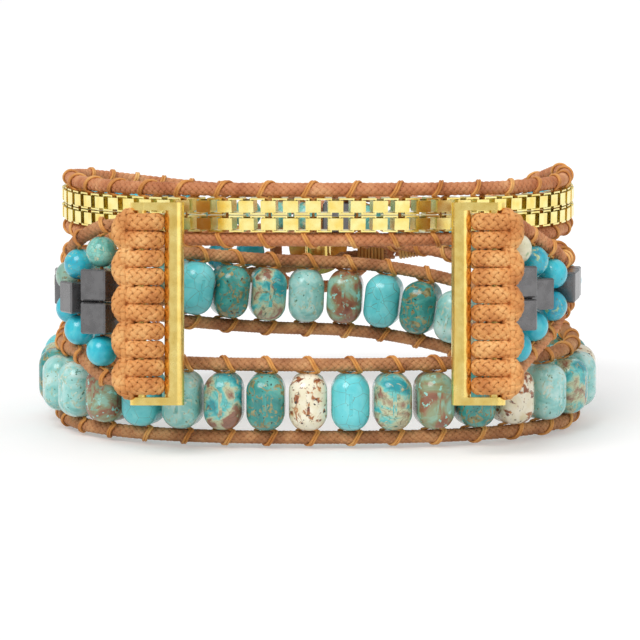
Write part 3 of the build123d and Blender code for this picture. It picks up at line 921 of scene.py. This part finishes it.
def buildKnots():
    radius, thick = knot["radius"], knot["thick"]
    beside = (thick + knot["gap"]) / 2
    reach, bight = knot["reach"], knot["bight"]
    half = [  # from the bight's middle round the pin and back, in shares of the knot's own sizes
        (reach * 0.82, -radius * 0.62, beside * 0.8),
        (reach * 0.30, -radius * 0.98, beside * 0.96),
        (-radius * 0.7, -radius * 1.02, beside),
        (-radius * 1.25, -radius * 0.45, beside),
        (-radius * 1.25, radius * 0.45, beside),
        (-radius * 0.7, radius * 1.02, beside),
        (reach * 0.3, radius * 0.9, beside * 1.1),
        (reach * 0.55, 0, beside * 1.5),
        (reach * 0.62, -bight, beside * 1.62),
        (reach * 1.04, -bight * 1.25, beside * 0.85),
        (reach * 1.12, -bight * 1.25, beside * 0.2),
    ]
    route = half + [(x, y, -z) for x, y, z in reversed(half)]
    for k in range(knot["count"]):
        level = ((knot["count"] - 1) / 2 - k) * knot["pitch"]
        points = [pinPoint(x, y, z + level) for x, y, z in route]
        line = curveLine(points, knot["step"])
        vertices, faces = tubes(braided(line, (0, 0, 1), braid, thick / cord["thick"], knot["wide"]))
        look = cordLooks["orangeTan"]
        for side in ("left", "right"):
            name = side + "Knot" + str(k + 1)
            node = side + "_knot_" + str(k + 1)
            addPiece(name, vertices, faces, look, "band", [node], "cord_orange", side == "left")


def buildLoop():
    level = rightStrap["stations"][5]
    route = loop["route"] + [(x, -z) for x, z in reversed(loop["route"])]
    points = [Vector((x, level[1], level[2] + z)) for x, z in route]
    vertices, faces = tubes(braided(curveLine(points, braid["step"]), (0, 1, 0), braid))
    addPiece("closureLoop", vertices, faces, cordLooks["redTan"], "loop", ["loop_cord"], "cord_tan", False)


buildEdgeCords()
buildKnots()
buildLoop()
print("cords, knots and loop braided")


# Sewing threads

thread = {
    "strand": 0.17,  # radius of one strand
    "apart": 0.17,  # half the space between the two strands
    "slant": 2.8,  # how far the wrap runs along the cord
    "eyeSlant": 0.2,
    "lift": 0.12,  # off the cord
    "bore": 0.1,  # off the middle of the bead's bore
    "mouth": 0.15,  # from the wrap down to the bore's mouth
    "inside": 0.75,
    "end": 0.02,
    "turns": 14,
    "from": -62,
    "sweep": 304,
    "step": 0.16,
}


def wrapLine(seat, height, sign, strand, s):  # up the bead's bore, round the cord and down again
    centre, way, up = seat
    way = (way - up * way.dot(up)).normalized()
    out = way.cross(up)
    radius = cord["thick"] / 2 + s["lift"]
    mouth = height - radius - s["mouth"]
    points = [(0.0, s["bore"] * strand, u) for u in (0.0, mouth - s["inside"], mouth)]
    for k in range(s["turns"] + 1):
        angle = math.radians(s["from"] + s["sweep"] * k / s["turns"])
        shift = s["apart"] * strand + s["slant"] * (k / s["turns"] - 0.5)
        points.append((shift, radius * math.cos(angle), height + radius * math.sin(angle)))
    points += [(0.0, -s["bore"] * strand, u) for u in (mouth, mouth - s["inside"], s["end"])]
    return [centre + way * t + out * n + up * sign * u for t, n, u in points]


def threadStrips(seats, heights, s):
    strips = []
    for seat, height in zip(seats, heights):
        for sign in (1, -1):
            for strand in (1, -1):
                line = curveLine(wrapLine(seat, height, sign, strand, s), s["step"])
                strips.append((line, carried(line, seat[1])[1], s["strand"], s["strand"]))
    return strips


def buildThreads():
    columns = [columnHeight(count) for count in columnCounts]
    halves = (small["half"], stone["height"] / 2, chain["half"])
    beadLevel, stoneLevel, linkLevel = (cordHeight(half) for half in halves)
    work = [
        ("leftColumnThreads", leftPlanes, columns, "left_triangle_threads", True),
        ("rightColumnThreads", rightPlanes, columns, "right_triangle_threads", False),
        ("leftBeadThreads", leftSeats, [beadLevel] * len(leftSeats), "left_bead_threads", True),
        ("rightBeadThreads", rightSeats, [beadLevel] * len(rightSeats), "right_bead_threads", False),
        ("stoneThreads", stoneSeats, [stoneLevel] * len(stoneSeats), "stone_threads", True),
        ("chainThreads", chainSeats, [linkLevel] * len(chainSeats), "chain_threads", False),
    ]
    look = cordLooks["goldThread"]
    for name, seats, heights, node, mirrored in work:
        vertices, faces = tubes(threadStrips(seats, heights, thread))
        addPiece(name, vertices, faces, look, "band", [node], "thread", mirrored)
    level = leftStrap["stations"][5]
    seat = (Vector((0, level[1], level[2])), Vector((1, 0, 0)), Vector((0, 0, 1)))
    strips = threadStrips([seat], [cordHeight(closure["eyeHalf"])], {**thread, "slant": thread["eyeSlant"]})
    vertices, faces = tubes(strips)
    addPiece("buttonThread", vertices, faces, look, "band", ["button_thread"], "thread", False)


whipping = {
    "turns": 8,
    "around": 16,  # points in one turn
    "length": 3.7,
    "strand": 0.22,  # radius of the thread
    "lift": 0.2,
    "inset": 0.4,  # from the cords' ends
    "step": 0.2,
}


def buildWhippings(s):  # thread wound round both cords
    for side, course in (("left", leftCourse), ("right", rightCourse)):
        before, end = course.corners[-2], course.corners[-1]
        way = (end[0] - before[0]).normalized()
        up = (end[1] - way * end[1].dot(way)).normalized()
        out = way.cross(up)
        middle = end[0] - way * (s["inset"] + s["length"] / 2)
        radius = cord["thick"] / 2 + s["lift"]
        points = []
        count = s["turns"] * s["around"]
        for k in range(count + 1):
            angle = 2 * math.pi * k / s["around"]
            n, u = radius * math.cos(angle), radius * math.sin(angle)
            u += math.copysign(cord["pair"], u) if abs(u) > tiny else 0
            points.append(middle + way * (k / count - 0.5) * s["length"] + out * n + up * u)
        line = curveLine(points, s["step"])
        vertices, faces = tubes([(line, carried(line, way)[1], s["strand"], s["strand"])])
        name, node = side + "EndWhipping", side + "_end_whipping"
        addPiece(name, vertices, faces, cordLooks["goldThread"], "band", [node], "thread", side == "left")


buildThreads()
buildWhippings(whipping)
print("threads sewn")
